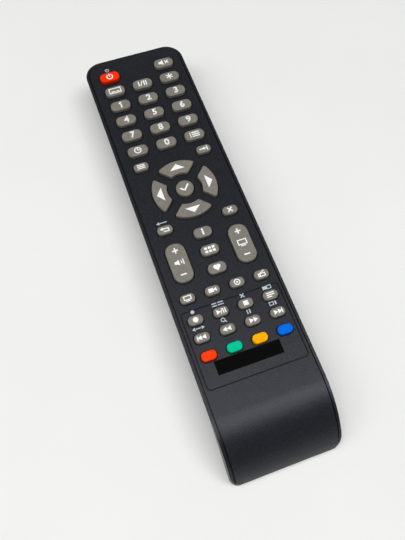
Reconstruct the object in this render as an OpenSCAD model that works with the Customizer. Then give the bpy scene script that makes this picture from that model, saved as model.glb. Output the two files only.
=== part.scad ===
// Remote control for a television, in millimetres.
// A key face drops into a tub, curves down over the nose, and carries rubber keys over a circuit board.
// The origin is the middle of the footprint on the table. +Y points at the infrared end and +Z up.

/* [Case] */
// Overall length, infrared end to nose
case_l = 195.6; // [190:0.2:210]
// Width across the rim
case_w = 46.4; // [46:0.2:52]
// Height of the flat key face above the table
case_h = 19; // [18.8:0.1:22]
// Corner radius at the infrared end, seen from above
far_corner_r = 8; // [6:0.5:11]
// Corner radius at the nose, seen from above
nose_corner_r = 3.6; // [3.2:0.1:6]
// How far each side draws in along the nose
nose_taper = 0.6; // [0:0.1:1]
// Radius of the nose, seen from the side
nose_r = 25.7; // [24:0.1:29]
// Height of the key face's lower end above the table
nose_gap = 2.2; // [2.1:0.1:3]
// Thickness of the key face
face_t = 1.8; // [1.5:0.1:2.2]
// Wall and floor thickness of the tub
wall_t = 1.8; // [1.5:0.1:2]
// Width of the tub's rim, seen from above
rim_w = 1.1; // [0.9:0.1:1.5]
// Drop from the key face to the rim
rim_drop = 0.7; // [0.4:0.1:1.2]
// Width of the dark seam between rim and key face
seam_w = 0.6; // [0.4:0.1:0.9]
// Width of the ledge that carries the key face
ledge_w = 0.8; // [0.6:0.1:1.2]
// Height of the upright band under the tub's rim
band_h = 0.5; // [0.3:0.1:3]
// Lean of the tub's sides below that band, in degrees
side_lean = 9; // [6:0.5:12]
// Radius of the tub's lower edges
belly_r = 4; // [3:0.5:5]
// Slope at which the tub's cheeks widen towards the nose, in degrees
nose_flare = 14; // [11:0.5:18]

/* [Frame line round the media keys] */
// Distance from the infrared end to the line's far run
line_from_end = 130.25; // [129.5:0.05:131.5]
// Length of the framed area
line_l = 32; // [30.5:0.5:34]
// Distance of the line from the key face's edge
line_margin = 0.9; // [0.7:0.1:1.2]
// Width of the engraved line
line_w = 0.5; // [0.3:0.1:0.7]
// Depth of the engraved line
line_d = 0.3; // [0.2:0.1:0.5]
// Corner radius of the line
line_r = 1.8; // [1.2:0.1:2.5]

/* [Key layout] */
// Distance from the infrared end to the middle digit row
digits_from_end = 36.75; // [35.5:0.05:38]
// Column pitch of the digit keys
digit_pitch_x = 13; // [12:0.1:13.5]
// Row pitch of the digit keys
digit_pitch_y = 8.57; // [8:0.01:8.8]
// Distance from the infrared end to the centre of the cursor ring
cursor_from_end = 78.3; // [77.5:0.05:79]
// Distance of the four corner keys from the middle line
corner_key_x = 14.2; // [13.5:0.1:15]
// Distance of the four corner keys from the cursor ring's centre, along the case
corner_key_y = 16; // [15.5:0.1:16.5]
// Distance from the infrared end to the rockers' middle
rockers_from_end = 110.15; // [109.5:0.05:110.8]
// Distance of the rockers from the middle line
rocker_x = 13.5; // [13:0.1:14]
// Distance from the infrared end to the middle column's centre key
middle_from_end = 108.7; // [108.2:0.05:109.2]
// Pitch of the middle column
middle_pitch = 8.4; // [8:0.1:8.8]
// Distance from the infrared end to the mode row
modes_from_end = 125.6; // [125.2:0.1:126]
// Distance from the infrared end to the first media row
media_from_end = 134.9; // [134.4:0.1:135.6]
// Column pitch of the mode, media and colour keys
media_pitch_x = 10.35; // [9.8:0.05:10.6]
// Row pitch of the media and colour keys
media_pitch_y = 7.4; // [7:0.05:7.8]

/* [Key sizes] */
// Width of a digit key
digit_w = 9; // [8:0.1:9.6]
// Depth of a digit key
digit_d = 5; // [4.5:0.1:5.5]
// Width of a corner key
corner_w = 6.5; // [6:0.1:7]
// Depth of a corner key
corner_d = 3.9; // [3.6:0.1:4.3]
// Width of a middle-column key
middle_w = 7.7; // [7:0.1:8.2]
// Depth of a middle-column key
middle_d = 4.6; // [4.2:0.1:5]
// Width of a mode, media or colour key
media_w = 6.1; // [5.6:0.1:6.5]
// Depth of a mode, media or colour key
media_d = 3.8; // [3.6:0.1:4.2]
// Width of a rocker
rocker_w = 8.2; // [7.8:0.1:9]
// Length of a rocker
rocker_d = 17.4; // [16.5:0.1:18]
// Radius of the OK key
ok_r = 3.8; // [3.4:0.1:4.2]
// Inner radius of the cursor ring
cursor_inner_r = 7.6; // [7.2:0.1:8]
// Outer radius of the cursor ring
cursor_outer_r = 14; // [13.4:0.1:14.4]
// Offset of each cursor key's sides from the ring's diagonals, along its middle line
cursor_offset = 3.1; // [2.6:0.1:4]
// Corner radius of the cursor keys, seen from above
cursor_corner_r = 0.9; // [0.6:0.1:1.2]
// Share of half a key's depth that its corner radius takes
corner_share = 0.9; // [0.6:0.05:0.95]

/* [Key fit] */
// Height of the keys above the key face
key_proud = 1.5; // [1.2:0.1:2.2]
// Chamfer round the keys' tops
key_edge = 0.5; // [0.3:0.1:0.8]
// Gap between a key and its hole
key_gap = 0.4; // [0.3:0.05:0.5]
// Width of the flange that keeps a key in the case
flange_w = 0.6; // [0.55:0.05:0.7]
// Thickness of that flange
flange_t = 0.6; // [0.5:0.05:0.8]
// Travel of a push key
key_travel = 0.8; // [0.5:0.1:1]
// Tilt of a rocker, each way, in degrees
rocker_tilt = 2.5; // [1:0.5:3]
// Room left between a key and what it stops short of
key_room = 0.3; // [0.3:0.05:0.4]
// Radius of the contact plunger under a key
plunger_r = 1.4; // [1:0.1:1.6]

/* [Board] */
// Thickness of the circuit board
board_t = 1; // [0.8:0.1:1.2]
// Thickness of the keypad mat
mat_t = 0.6; // [0.5:0.1:0.8]
// Room between the board or the mat and the tub's walls
board_room = 1.3; // [1.1:0.1:1.6]
// Length of board beyond the colour keys' centre line
board_tail = 5; // [4:0.5:8]
// Radius of the pegs that hold mat and board down
peg_r = 1; // [0.8:0.1:1.1]
// Radius of the posts that carry the board
post_r = 2; // [1.5:0.1:2.5]
// Distance of the posts from the middle line
post_x = 15.5; // [14.5:0.1:16]
// Length of the controller chip
chip_l = 10.3; // [8:0.1:13]
// Width of the controller chip
chip_w = 7.5; // [6:0.1:8]
// Thickness of the controller chip
chip_t = 2.3; // [1.5:0.1:2.6]
// Diameter of the storage capacitor
capacitor_d = 6.3; // [5:0.1:8]
// Length of the storage capacitor
capacitor_l = 11; // [9:0.5:13]
// Length of the ceramic resonator
resonator_l = 7; // [5:0.5:8]
// Thickness of the ceramic resonator
resonator_t = 3.2; // [2.5:0.1:4]
// Height of the ceramic resonator
resonator_h = 5.5; // [4:0.5:7]
// Diameter of the infrared diode's dome
led_d = 5; // [3:0.1:5]
// Length of the infrared diode
led_l = 8.7; // [8:0.1:9]
// Drop from the board to the diode's axis
led_drop = 4.1; // [3.6:0.1:5]
// Thickness of the diode's legs
led_leg = 0.5; // [0.4:0.1:0.7]

/* [Battery] */
// Diameter of an AAA cell
cell_d = 10.5; // [10:0.1:10.5]
// Length of an AAA cell
cell_l = 44.5; // [43:0.1:44.5]
// Diameter of the cell's raised contact
nub_d = 3.8; // [3:0.1:3.8]
// Height of the cell's raised contact
nub_h = 0.8; // [0.8:0.1:1.2]
// Distance between the two cells
cell_apart = 0.6; // [0.4:0.1:1]
// Room round the cells in their bay
cell_room = 0.3; // [0.2:0.05:0.4]
// Distance from the nose to the bay
bay_from_nose = 22.2; // [20:0.1:24]
// Thickness of the bay's walls
bay_wall = 1.2; // [1:0.1:1.5]
// Length of a compressed battery spring
spring_l = 4.5; // [3.5:0.1:6]
// Wire of a battery spring
spring_wire = 0.6; // [0.5:0.1:0.8]
// Radius of a battery spring at the bay's wall
spring_wide_r = 4; // [3:0.1:4.5]
// Radius of a battery spring at the cell
spring_narrow_r = 2.4; // [2:0.1:2.8]
// Turns of a battery spring
spring_turns = 3; // [2:0.5:4]
// Thickness of a contact plate
plate_t = 0.4; // [0.3:0.1:0.6]
// Width of a contact plate
plate_w = 8; // [6:0.5:9]

/* [Battery door] */
// Thickness of the door
door_t = 1.3; // [1.1:0.1:1.4]
// How far the door lies above the underside
door_recess = 0.2; // [0.1:0.05:0.3]
// Running gap round the door
door_gap = 0.3; // [0.2:0.05:0.4]
// Width of the tongue on each side of the door
tongue_w = 1.3; // [1:0.1:1.8]
// Thickness of those tongues
tongue_t = 0.6; // [0.5:0.05:0.7]
// How far the door's opening stands outside the bay
door_margin = 1.7; // [1.5:0.1:2.2]
// Length of door beyond the bay, at its closed end
door_lap = 4; // [3:0.5:6]
// Number of finger ridges on the door
ridge_count = 7; // [4:1:9]
// Pitch of the finger ridges
ridge_pitch = 1.6; // [1.2:0.1:2]
// Depth of the grooves between the ridges
ridge_d = 0.5; // [0.3:0.1:0.6]
// Width of the grooves between the ridges
ridge_w = 0.8; // [0.5:0.1:1]
// Length of the finger ridges across the door
ridge_l = 14; // [8:1:18]

/* [Screw] */
// Radius of the screw's shank
screw_r = 1.15; // [1:0.05:1.3]
// Radius of the screw's head
screw_head_r = 2.3; // [2:0.1:2.6]
// Height of the screw's head
screw_head_h = 1.5; // [1.2:0.1:1.8]
// Length of the screw under its head
screw_l = 8; // [6:0.5:9]
// Radius of the bosses that take the screw
boss_r = 3.4; // [3.2:0.1:4]
// Height of the tub's boss above the screw's head
boss_h = 3; // [2:0.5:4]

/* [Hidden] */
$fn = 48;
eps = 0.01;
hair = 0.05;
grey_rubber = "#85837d";
black_abs = "#26272d";

// Heights, from the key face down and from the table up
key_top = case_h + key_proud;
face_under = case_h - face_t;
flange_top = face_under - key_room;
flange_bottom = flange_top - flange_t;
mat_top = flange_bottom - key_travel - key_room;
board_top = mat_top - mat_t;
board_bottom = board_top - board_t;
plunger_bottom = board_top + key_travel + key_room;
door_top = door_recess + door_t;
cell_z = door_top + cell_room + cell_d / 2;
bay_top = cell_z + cell_d / 2 + cell_room;
lip_h = door_top - tongue_t - door_gap;

// The nose is an arc about this point, seen from the side
nose_z = case_h - nose_r;
nose_y = -case_l / 2 + sqrt(pow(nose_r, 2) - pow(nose_gap - nose_z, 2));

// The tub's section: the side leans in below the band and rounds into the floor
band_z = case_h - rim_drop - band_h;
floor_half = case_w / 2 - band_z * tan(side_lean);
belly_x = floor_half + belly_r * tan(side_lean) - belly_r / cos(side_lean);
// The cheeks hang from the nose's chord and run in under the flat of the floor
nose_slope = atan2(case_h - rim_drop - nose_gap, nose_y + case_l / 2);
cheek_lap = 0.5;
cheek_half = belly_x - cheek_lap;
cheek_d = (case_w / 2 - cheek_half) / tan(nose_flare);
face_inset = rim_w + seam_w;
hollow_inset = face_inset + ledge_w;

// Key rows, measured from the infrared end
function from_end(d) = case_l / 2 - d;
digits_y = from_end(digits_from_end);
cursor_y = from_end(cursor_from_end);
rockers_y = from_end(rockers_from_end);
middle_y = from_end(middle_from_end);
media_y = from_end(media_from_end);
modes_y = from_end(modes_from_end);
colours_y = media_y - 2 * media_pitch_y;

// Each key is its name, kind, place, turn and colour
function pad_key(name, column, row, tint = grey_rubber) =
  [name, "digit", [column * digit_pitch_x, digits_y + row * digit_pitch_y], 0, tint];
function corner_key(name, side, end) =
  [name, "corner", [side * corner_key_x, cursor_y + end * corner_key_y], 0, grey_rubber];
function cursor_key(name, turn) = [name, "cursor", [0, cursor_y], turn, grey_rubber];
function media_key(name, column, y, tint = grey_rubber) =
  [name, "media", [(column - 1.5) * media_pitch_x, y], 0, tint];

pad_rows = [
  ["subtitle_key", "sound_key", "freeze_key"],
  ["digit_1_key", "digit_2_key", "digit_3_key"],
  ["digit_4_key", "digit_5_key", "digit_6_key"],
  ["digit_7_key", "digit_8_key", "digit_9_key"],
  ["sleep_key", "digit_0_key", "list_key"]
];
mode_row = ["tuner_key", "video_key", "player_key", "radio_key"];
media_rows = [
  ["record_key", "play_key", "stop_key", "text_key"],
  ["previous_key", "rewind_key", "forward_key", "next_key"]
];
colour_row = [
  ["red_key", "#ff4614"], ["green_key", "#08b58b"], ["yellow_key", "#ffaa00"], ["blue_key", "#0069e1"]
];
cursor_row = ["up_key", "left_key", "down_key", "right_key"];
middle_column = ["info_key", "guide_key", "favourite_key"];

KEYS = [
  pad_key("power_key", -1, 3, "#fa3205"),
  pad_key("mute_key", 1, 3),
  for (row = [0:4]) for (column = [0:2]) pad_key(pad_rows[row][column], column - 1, 2 - row),
  corner_key("menu_key", -1, 1),
  corner_key("source_key", 1, 1),
  for (i = [0:3]) cursor_key(cursor_row[i], 90 * i),
  ["ok_key", "ok", [0, cursor_y], 0, grey_rubber],
  corner_key("back_key", -1, -1),
  corner_key("exit_key", 1, -1),
  for (i = [0:2]) [middle_column[i], "middle", [0, middle_y + (1 - i) * middle_pitch], 0, grey_rubber],
  ["volume_rocker", "rocker", [-rocker_x, rockers_y], 0, grey_rubber],
  ["channel_rocker", "rocker", [rocker_x, rockers_y], 0, grey_rubber],
  for (i = [0:3]) media_key(mode_row[i], i, modes_y),
  for (row = [0:1]) for (i = [0:3]) media_key(media_rows[row][i], i, media_y - row * media_pitch_y),
  for (i = [0:3]) media_key(colour_row[i][0], i, colours_y, colour_row[i][1])
];

// Outline shapes

module rounded(w, d, r) {
  x = w / 2;
  y = d / 2;
  polygon([
    [x - r, -y], [x, r - y], [x, y - r], [x - r, y], [r - x, y], [-x, y - r], [-x, r - y], [r - x, -y]
  ]);
  for (side = [-1, 1]) for (end = [-1, 1]) translate([side * (x - r), end * (y - r)]) circle(r = r);
}

// The case seen from above, drawn in by inset on three sides and by nose_inset at the nose
module plan(inset, nose_inset) {
  x = case_w / 2 - inset;
  far = case_l / 2 - inset;
  near = nose_inset - case_l / 2;
  rf = far_corner_r - inset;
  rn = nose_corner_r - inset;
  x_near = x - nose_taper;
  polygon([
    [x_near - rn, near], [x_near, near + rn], [x, nose_y], [x, far - rf], [x - rf, far],
    [rf - x, far], [-x, far - rf], [-x, nose_y], [-x_near, near + rn], [rn - x_near, near]
  ]);
  for (side = [-1, 1]) {
    translate([side * (x - rf), far - rf]) circle(r = rf);
    translate([side * (x_near - rn), near + rn]) circle(r = rn);
  }
}

// The case seen from the side, its top lowered by drop
module side_view(drop) {
  intersection() {
    union() {
      translate([nose_y, 0]) square([case_l / 2 - nose_y, case_h - drop]);
      translate([nose_y, nose_z]) circle(r = nose_r - drop, $fn = 128);
    }
    translate([-case_l / 2, 0]) square([case_l, case_h]);
  }
}

// The tub seen from its end, its surface drawn in by inset
function arc(x, y, r, from, to) =
  [for (i = [0:8]) let (a = from + (to - from) * i / 8) [x + r * cos(a), y + r * sin(a)]];
module section(inset) {
  r = belly_r - inset;
  lean_x = belly_x + r * cos(side_lean);
  lean_z = belly_r - r * sin(side_lean);
  top_x = lean_x + (case_h - lean_z) * tan(side_lean);
  polygon(concat(
    arc(belly_x, belly_r, r, -90, -side_lean),
    [[top_x, case_h], [-top_x, case_h]],
    arc(-belly_x, belly_r, r, 180 + side_lean, 270)
  ));
}

module plan_prism(inset, nose_inset, from = 0) {
  translate([0, 0, from]) linear_extrude(case_h - from) plan(inset, nose_inset);
}

module side_prism(drop) {
  rotate([90, 0, 90]) linear_extrude(case_w, center = true) side_view(drop);
}

module section_prism(inset) {
  rotate([90, 0, 0]) linear_extrude(case_l, center = true) section(inset);
}

// A wedge laid along the nose's chord, so that the tub keeps its width under the face's lower end
module cheeks() {
  top_x = case_w / 2 + case_h * tan(nose_flare);
  translate([0, nose_y, band_z]) rotate([90 + nose_slope, 0, 0]) linear_extrude(case_l, center = true)
    polygon([[-cheek_half, -cheek_d], [cheek_half, -cheek_d], [top_x, case_h], [-top_x, case_h]]);
}

module block(half_w, y0, y1, z0, z1) {
  translate([-half_w, y0, z0]) cube([2 * half_w, y1 - y0, z1 - z0]);
}

// Keys

function key_size(kind) =
  kind == "digit" ? [digit_w, digit_d] :
  kind == "corner" ? [corner_w, corner_d] :
  kind == "middle" ? [middle_w, middle_d] :
  kind == "rocker" ? [rocker_w, rocker_d] :
  [media_w, media_d];
function key_corner(kind) = min(key_size(kind)) / 2 * corner_share;

// A cursor key's corner is round about a point at that radius, off the ring's diagonal by corner_off
corner_off = cursor_offset / sqrt(2) + cursor_corner_r;
function cursor_corner(r) = let (along = sqrt(pow(r, 2) - pow(corner_off, 2)))
  [along - corner_off, along + corner_off] / sqrt(2);

module cursor_outline(grow) {
  r = cursor_corner_r + grow;
  outer = cursor_corner(cursor_outer_r - cursor_corner_r);
  inner = cursor_corner(cursor_inner_r + cursor_corner_r);
  outer_a = atan2(outer.y, outer.x);
  inner_a = atan2(inner.y, inner.x);
  polygon(concat(
    arc(inner.x, inner.y, r, inner_a + 180, 315),
    arc(outer.x, outer.y, r, -45, outer_a),
    arc(0, 0, cursor_outer_r + grow, outer_a, 180 - outer_a),
    arc(-outer.x, outer.y, r, 180 - outer_a, 225),
    arc(-inner.x, inner.y, r, 225, 360 - inner_a),
    arc(0, 0, cursor_inner_r - grow, 180 - inner_a, inner_a)
  ));
}

module key_outline(kind, grow) {
  size = key_size(kind) + [2 * grow, 2 * grow];
  if (kind == "ok") circle(r = ok_r + grow);
  else if (kind == "cursor") cursor_outline(grow);
  else rounded(size.x, size.y, key_corner(kind) + grow);
}

// A strip whose top edges are chamfered, used to chamfer a key's long or short edges
module chamfered_strip(w, l, h) {
  rotate([90, 0, 0]) linear_extrude(l, center = true)
    polygon([[-w / 2, 0], [w / 2, 0], [w / 2, h - key_edge], [w / 2 - key_edge, h], [key_edge - w / 2, h],
             [-w / 2, h - key_edge]]);
}

module key_cap(kind, h) {
  size = key_size(kind);
  if (kind == "ok") {
    cylinder(r = ok_r, h = h - key_edge);
    translate([0, 0, h - key_edge]) cylinder(r1 = ok_r, r2 = ok_r - key_edge, h = key_edge);
  } else if (kind == "cursor") {
    far = cursor_outer_r + key_edge;
    near = cursor_inner_r - key_edge;
    intersection() {
      linear_extrude(h) cursor_outline(0);
      rotate_extrude($fn = 96) polygon([
        [near, 0], [far, 0], [far, h - 2 * key_edge], [far - 2 * key_edge, h], [near + 2 * key_edge, h],
        [near, h - 2 * key_edge]
      ]);
    }
  } else {
    intersection() {
      linear_extrude(h) key_outline(kind, 0);
      chamfered_strip(size.x, size.y, h);
      rotate(90) chamfered_strip(size.y, size.x, h);
    }
  }
}

// A rocker's flange hangs lower, so that its rising end stays clear of the face
function flange_sink(kind) = kind == "rocker" ? (rocker_d / 2 + flange_w) * sin(rocker_tilt) : 0;
function plunger_spots(kind) =
  kind == "rocker" ? [[0, rocker_d / 3], [0, -rocker_d / 3]] :
  kind == "cursor" ? [[0, (cursor_inner_r + cursor_outer_r) / 2]] :
  [[0, 0]];

module key(k) {
  kind = k[1];
  base = flange_bottom - flange_sink(kind);
  color(k[4]) translate([k[2].x, k[2].y, 0]) rotate(k[3]) {
    translate([0, 0, base]) key_cap(kind, key_top - base);
    translate([0, 0, base]) linear_extrude(flange_t) key_outline(kind, flange_w);
    for (spot = plunger_spots(kind))
      translate([spot.x, spot.y, plunger_bottom]) cylinder(r = plunger_r, h = base - plunger_bottom + eps);
  }
}

module at_each_plunger() {
  for (k = KEYS) for (spot = plunger_spots(k[1]))
    translate([k[2].x, k[2].y, 0]) rotate(k[3]) translate([spot.x, spot.y, 0]) children();
}

// Mat and board

board_half = case_w / 2 - hollow_inset - board_room;
board_far = case_l / 2 - hollow_inset - board_room;
board_near = colours_y - board_tail;
board_corner = far_corner_r - hollow_inset;
peg_spots = [
  for (side = [-1, 1]) for (end = [-1, 1]) [side * digit_pitch_x / 2, digits_y + end * digit_pitch_y * 1.5],
  [0, (modes_y + media_y) / 2]
];
post_spots = [
  for (side = [-1, 1])
    for (y = [digits_y + 2.5 * digit_pitch_y, cursor_y + corner_key_y, cursor_y - corner_key_y])
      [side * post_x, y]
];

module board_outline() {
  translate([0, (board_far + board_near) / 2]) rounded(2 * board_half, board_far - board_near, board_corner);
}

module circuit_board() color("#2f7d4a") {
  translate([0, 0, board_bottom]) linear_extrude(board_t) board_outline();
}

module keypad_mat() color("#5c5b58") {
  difference() {
    translate([0, 0, board_top]) linear_extrude(mat_t) board_outline();
    at_each_plunger() translate([0, 0, board_top - mat_t]) cylinder(r = plunger_r + key_room, h = 3 * mat_t);
    for (spot = peg_spots)
      translate([spot.x, spot.y, board_top - mat_t]) cylinder(r = peg_r + key_room, h = 3 * mat_t);
  }
}

chip_y = cursor_y;
capacitor_y = digits_y;
resonator_y = (chip_y + capacitor_y) / 2;
part_x = board_half / 2;

module controller_chip() color("#1b1b1d") {
  leg_w = 0.4;
  leg_pitch = 1.27;
  leg_reach = 1.2;
  leg_count = floor(chip_l / leg_pitch) - 1;
  translate([0, chip_y, board_bottom - chip_t]) {
    translate([-chip_w / 2, -chip_l / 2, 0]) cube([chip_w, chip_l, chip_t]);
    for (i = [0:leg_count - 1])
      translate([-chip_w / 2 - leg_reach, (i - (leg_count - 1) / 2) * leg_pitch - leg_w / 2, chip_t - leg_w])
        cube([chip_w + 2 * leg_reach, leg_w, leg_w]);
  }
}

module capacitor() color("#2b3556") {
  translate([-part_x, capacitor_y - capacitor_l / 2, board_bottom - capacitor_d / 2]) rotate([-90, 0, 0])
    cylinder(d = capacitor_d, h = capacitor_l);
}

module ceramic_resonator() color("#c98a2e") {
  translate([part_x - resonator_t / 2, resonator_y - resonator_l / 2, board_bottom - resonator_h])
    cube([resonator_t, resonator_l, resonator_h]);
}

led_tip = case_l / 2 - door_gap;
led_z = board_bottom - led_drop;
led_collar_w = 0.4;
led_collar_l = 1;
led_leg_pitch = 2.54;
led_leg_run = 2;

module infrared_led() color("#3b2f4a") {
  dome_r = led_d / 2;
  back = led_tip - led_l;
  translate([0, back, led_z]) rotate([-90, 0, 0]) {
    cylinder(r = dome_r, h = led_l - dome_r);
    translate([0, 0, led_l - dome_r]) sphere(r = dome_r);
    cylinder(r = dome_r + led_collar_w, h = led_collar_l);
  }
  for (side = [-1, 1])
    translate([side * led_leg_pitch / 2 - led_leg / 2, back - led_leg_run, led_z - led_leg / 2]) {
      cube([led_leg, led_leg_run + eps, led_leg]);
      cube([led_leg, led_leg, board_bottom - led_z + led_leg / 2]);
    }
}

// Battery bay

bay_half = cell_d + cell_apart / 2 + cell_room;
bay_l = plate_t + cell_l + spring_l + plate_t;
bay_near = bay_from_nose - case_l / 2;
bay_far = bay_near + bay_l;
cell_x = (cell_d + cell_apart) / 2;
opening_half = bay_half + door_margin;
channel_half = opening_half + tongue_w;
door_far = bay_far + door_lap;
door_near = -case_l / 2 + rim_drop;

// Puts its children at one cell's axis, at the end where its raised contact is
module at_cell(side) {
  flip = side > 0 ? 0 : 1;
  translate([side * cell_x, flip == 0 ? bay_far : bay_near, cell_z])
    rotate([flip == 0 ? 90 : -90, 0, 0]) children();
}

module aaa_cells() color("#b9b4a4") {
  for (side = [-1, 1]) at_cell(side) {
    translate([0, 0, plate_t]) cylinder(d = nub_d, h = nub_h + eps);
    translate([0, 0, plate_t + nub_h]) cylinder(d = cell_d, h = cell_l - nub_h);
  }
}

module contact_plates() color("#c9ccd0") {
  for (side = [-1, 1])
    at_cell(side) translate([-plate_w / 2, -plate_w / 2, 0]) cube([plate_w, plate_w, plate_t]);
}

// A conical coil of round wire: rings of points along the wire, joined in order
spring_sides = 6;
spring_steps = 12;
function coil_point(t, h, r0, r1, wire) =
  let (r = r0 + (r1 - r0) * t, a = 360 * spring_turns * t)
  [r * cos(a), r * sin(a), wire / 2 + (h - wire) * t];
module coil(h, r0, r1, wire) {
  count = spring_turns * spring_steps;
  points = [
    for (i = [0:count]) let (t = i / count, p = coil_point(t, h, r0, r1, wire), a = 360 * spring_turns * t)
      for (j = [0:spring_sides - 1]) let (b = 360 * j / spring_sides)
        p + wire / 2 * [cos(b) * cos(a), cos(b) * sin(a), sin(b)]
  ];
  sides = [
    for (i = [0:count - 1]) for (j = [0:spring_sides - 1])
      let (k = (j + 1) % spring_sides, a = i * spring_sides, b = a + spring_sides)
        each [[a + j, b + j, b + k], [a + j, b + k, a + k]]
  ];
  caps = [
    [for (j = [0:spring_sides - 1]) j],
    [for (j = [spring_sides - 1:-1:0]) count * spring_sides + j]
  ];
  polyhedron(points, concat(sides, caps), convexity = 6);
}

module battery_springs() color("#c9ccd0") {
  for (side = [-1, 1]) at_cell(side) translate([0, 0, plate_t + cell_l])
    coil(spring_l, spring_narrow_r, spring_wide_r, spring_wire);
}

// Tub

screw_y = bay_near - bay_wall - boss_r;
screw_top = door_top + door_gap + key_room + screw_head_h;
boss_top = screw_top + boss_h;

// The door runs in a flat tunnel under the bay, open at the nose
module bay() {
  tunnel_top = door_top + door_gap + bay_wall;
  difference() {
    union() {
      intersection() {
        block(channel_half + bay_wall, -case_l / 2, door_far + door_gap + bay_wall, eps, tunnel_top);
        side_prism(face_t + hair);
      }
      block(bay_half + bay_wall, bay_near - bay_wall, bay_far + bay_wall, wall_t / 2, board_bottom);
      translate([0, screw_y, tunnel_top - eps]) cylinder(r = boss_r, h = boss_top - tunnel_top + eps);
      block(boss_r / 2, screw_y, bay_near, tunnel_top - eps, boss_top);
    }
    block(bay_half, bay_near, bay_far, -eps, bay_top);
    translate([0, screw_y, 0]) cylinder(r = screw_r + 2 * hair, h = case_h);
    translate([0, screw_y, 0]) cylinder(r = screw_head_r + key_room, h = screw_top);
  }
}

module door_way() {
  block(opening_half, -case_l, door_far + door_gap, -eps, lip_h + eps);
  block(channel_half, -case_l, door_far + door_gap, lip_h, door_top + door_gap);
}

module lower_case() color(black_abs) {
  difference() {
    union() {
      difference() {
        intersection() {
          plan_prism(0, 0);
          side_prism(rim_drop);
          union() {
            section_prism(0);
            cheeks();
          }
        }
        difference() {
          plan_prism(rim_w, 0, nose_gap - hair);
          side_prism(face_t + hair);
        }
        intersection() {
          plan_prism(hollow_inset, rim_w, wall_t);
          section_prism(wall_t);
        }
      }
      bay();
      for (spot = post_spots)
        translate([spot.x, spot.y, wall_t - eps]) cylinder(r = post_r, h = board_bottom - wall_t + eps);
    }
    door_way();
    translate([0, led_tip - led_l / 2, led_z]) rotate([-90, 0, 0])
      cylinder(d = led_d + 2 * door_gap, h = led_l);
  }
}

module battery_door() color(black_abs) {
  half = opening_half - door_gap;
  ridge_y = door_near + ridge_pitch * (ridge_count + 2);
  difference() {
    union() {
      block(half, door_near, door_far, door_recess, door_top);
      block(half + tongue_w, door_near, door_far, door_top - tongue_t, door_top);
    }
    for (i = [0:ridge_count - 1])
      translate([0, ridge_y - i * ridge_pitch, 0]) block(ridge_l / 2, 0, ridge_w, 0, door_recess + ridge_d);
  }
}

// Key face

screw_pilot_top = screw_top + screw_l + 2 * hair;

module frame_line() {
  half = case_w / 2 - face_inset - line_margin;
  far = from_end(line_from_end);
  translate([0, far - line_l / 2, case_h - line_d]) linear_extrude(face_t) difference() {
    rounded(2 * half, line_l, line_r);
    rounded(2 * (half - line_w), line_l - 2 * line_w, line_r - line_w);
  }
}

module upper_case() color(black_abs) {
  difference() {
    union() {
      intersection() {
        plan_prism(face_inset, 0, nose_gap);
        difference() {
          side_prism(0);
          side_prism(face_t);
        }
      }
      for (spot = peg_spots)
        translate([spot.x, spot.y, board_top]) cylinder(r = peg_r, h = face_under - board_top + eps);
      intersection() {
        translate([0, screw_y, boss_top + hair]) cylinder(r = boss_r, h = case_h);
        side_prism(face_t - eps);
      }
    }
    for (k = KEYS) translate([k[2].x, k[2].y, face_under - face_t]) rotate(k[3])
      linear_extrude(3 * face_t) key_outline(k[1], key_gap);
    frame_line();
    translate([0, screw_y, 0]) cylinder(r = screw_r + hair, h = screw_pilot_top);
  }
}

module case_screw() color("#b8bcc2") {
  slot_w = 0.6;
  slot_d = 0.8;
  translate([0, screw_y, screw_top - screw_head_h]) difference() {
    union() {
      cylinder(r = screw_head_r, h = screw_head_h);
      cylinder(r = screw_r, h = screw_head_h + screw_l);
    }
    for (turn = [0, 90])
      rotate(turn) translate([-screw_head_r, -slot_w / 2, -eps]) cube([2 * screw_head_r, slot_w, slot_d]);
  }
}

lower_case();
battery_door();
contact_plates();
battery_springs();
aaa_cells();
circuit_board();
controller_chip();
capacitor();
ceramic_resonator();
infrared_led();
keypad_mat();
upper_case();
case_screw();
for (k = KEYS) key(k);
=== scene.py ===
import math

import bmesh
import bpy
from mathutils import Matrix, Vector


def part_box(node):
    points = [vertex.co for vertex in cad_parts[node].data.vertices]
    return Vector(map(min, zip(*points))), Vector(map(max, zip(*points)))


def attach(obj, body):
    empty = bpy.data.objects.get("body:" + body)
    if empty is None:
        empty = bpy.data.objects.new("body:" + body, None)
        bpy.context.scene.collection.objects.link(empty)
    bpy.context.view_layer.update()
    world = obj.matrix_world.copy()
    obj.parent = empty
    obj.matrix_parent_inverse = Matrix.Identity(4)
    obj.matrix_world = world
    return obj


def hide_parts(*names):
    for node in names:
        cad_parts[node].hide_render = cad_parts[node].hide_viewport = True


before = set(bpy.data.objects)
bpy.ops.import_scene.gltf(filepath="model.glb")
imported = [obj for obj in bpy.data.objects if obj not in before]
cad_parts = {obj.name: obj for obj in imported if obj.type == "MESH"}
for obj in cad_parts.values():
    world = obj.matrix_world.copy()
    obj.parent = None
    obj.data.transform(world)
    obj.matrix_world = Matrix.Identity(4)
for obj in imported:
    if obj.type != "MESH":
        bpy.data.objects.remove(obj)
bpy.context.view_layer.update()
bpy.context.scene.view_settings.view_transform = "Standard"

# The camera stands over the nose end and looks down along the handset, as the photograph does.
# Its place and turn come from the rows of keys and the straight sides of the case.
MM = 0.001
bpy.ops.object.camera_add(
    location=(-42.71 * MM, -104.46 * MM, 235.85 * MM),
    rotation=(math.radians(23.43), math.radians(-1.357), math.radians(-20.026)),
)
camera = bpy.context.object
camera.data.sensor_width = 36
camera.data.lens = 39.5
camera.data.clip_start = 0.01
bpy.context.scene.camera = camera


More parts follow.
